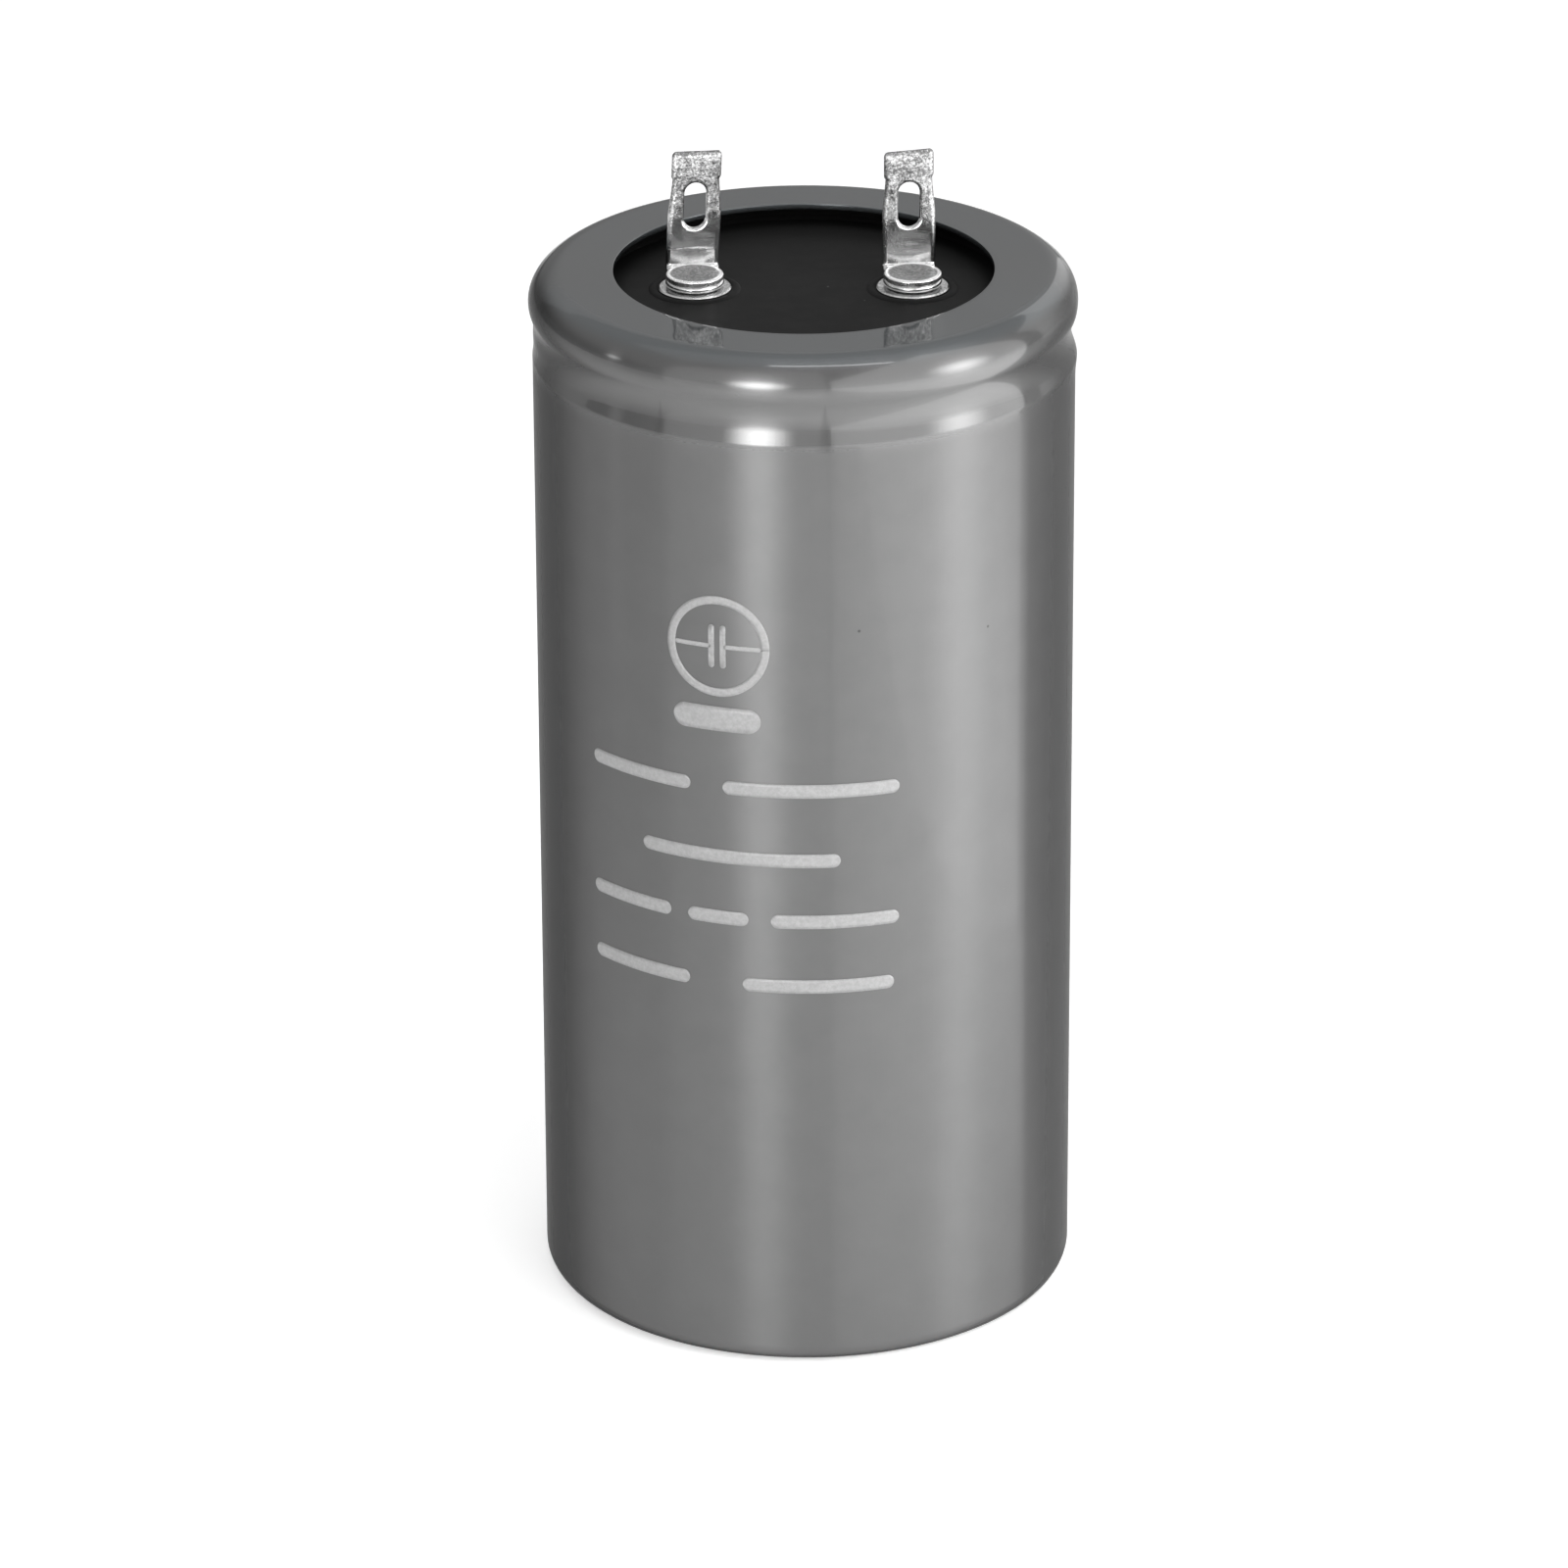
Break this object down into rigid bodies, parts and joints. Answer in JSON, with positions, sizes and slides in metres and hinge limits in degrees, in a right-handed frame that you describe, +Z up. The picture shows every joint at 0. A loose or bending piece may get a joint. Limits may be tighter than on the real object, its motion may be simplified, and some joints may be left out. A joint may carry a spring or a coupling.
{
  "type": "motor start capacitor",
  "caption": "Round motor start capacitor: a canned winding in a shrink sleeve, closed by a rubber-faced cover with two riveted solder lugs.",
  "frame": {"origin": "centre of the base, on the plane the capacitor stands on", "axes": "+Z up the can towards the lugs, +X from the left lug to the right lug, -Y the side the lugs' flat faces look at and the rivets stand on"},
  "size_m": [0.0504, 0.0504, 0.11],
  "materials": {
    "sleeve_film": "grey shrink film, glossy",
    "can_metal": "drawn, matt",
    "cover_rubber": "matt black",
    "board": "brown laminate",
    "tinned_strip": "hot-tinned, uneven",
    "rivet_metal": "bright, struck",
    "washer_metal": "bright, stamped",
    "tab_foil": "soft foil",
    "roll": "foil and soaked paper",
    "tape": "clear brown tape",
    "fibre": "pressed insulating board"
  },
  "bodies": {
    "root": {"sleeve": "sleeve_film", "can": "can_metal", "cover_rubber": "cover_rubber", "cover_board": "board", "left_lug": "tinned_strip", "right_lug": "tinned_strip", "left_rivet": "rivet_metal", "right_rivet": "rivet_metal", "left_outer_washer": "washer_metal", "right_outer_washer": "washer_metal", "left_inner_washer": "washer_metal", "right_inner_washer": "washer_metal", "left_tab": "tab_foil", "right_tab": "tab_foil", "winding": "roll", "winding_tape": "tape", "upper_insulator": "fibre", "base_pad": "fibre"}
  },
  "joints": []
}
